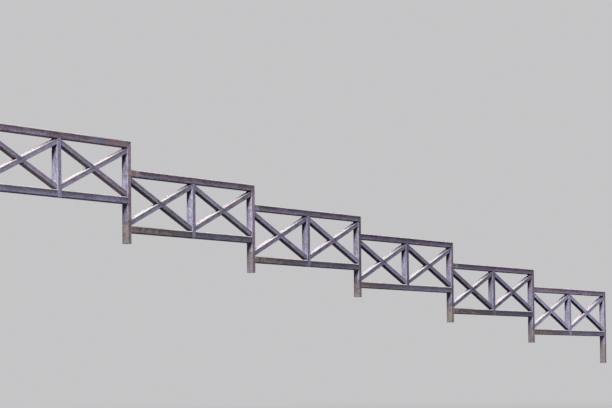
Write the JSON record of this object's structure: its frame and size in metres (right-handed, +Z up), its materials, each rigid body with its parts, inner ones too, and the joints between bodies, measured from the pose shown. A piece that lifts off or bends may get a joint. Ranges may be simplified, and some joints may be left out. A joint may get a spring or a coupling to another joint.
{
  "type": "stepped iron railing",
  "caption": "Low stepped railing of welded square steel tube with X braces, for the top of a sloping wall.",
  "frame": {"origin": "middle of the start post's foot face, at the upper end of the railing", "axes": "+X along the railing, down its steps; +Y away from its open front; +Z up"},
  "size_m": [9.04, 0.04, 1.21],
  "materials": {
    "railing_paint": "satin grey paint, weathered, with a few rust spots"
  },
  "bodies": {
    "root": {"start_post": "railing_paint", "post_1": "railing_paint", "top_rail_1": "railing_paint", "bottom_rail_1_left": "railing_paint", "bottom_rail_1_right": "railing_paint", "middle_post_1": "railing_paint", "cross_brace_1_left": "railing_paint", "cross_brace_1_right": "railing_paint", "post_2": "railing_paint", "top_rail_2": "railing_paint", "bottom_rail_2_left": "railing_paint", "bottom_rail_2_right": "railing_paint", "middle_post_2": "railing_paint", "cross_brace_2_left": "railing_paint", "cross_brace_2_right": "railing_paint", "post_3": "railing_paint", "top_rail_3": "railing_paint", "bottom_rail_3_left": "railing_paint", "bottom_rail_3_right": "railing_paint", "middle_post_3": "railing_paint", "cross_brace_3_left": "railing_paint", "cross_brace_3_right": "railing_paint", "post_4": "railing_paint", "top_rail_4": "railing_paint", "bottom_rail_4_left": "railing_paint", "bottom_rail_4_right": "railing_paint", "middle_post_4": "railing_paint", "cross_brace_4_left": "railing_paint", "cross_brace_4_right": "railing_paint", "post_5": "railing_paint", "top_rail_5": "railing_paint", "bottom_rail_5_left": "railing_paint", "bottom_rail_5_right": "railing_paint", "middle_post_5": "railing_paint", "cross_brace_5_left": "railing_paint", "cross_brace_5_right": "railing_paint", "post_6": "railing_paint", "top_rail_6": "railing_paint", "bottom_rail_6_left": "railing_paint", "bottom_rail_6_right": "railing_paint", "middle_post_6": "railing_paint", "cross_brace_6_left": "railing_paint", "cross_brace_6_right": "railing_paint"}
  },
  "joints": []
}
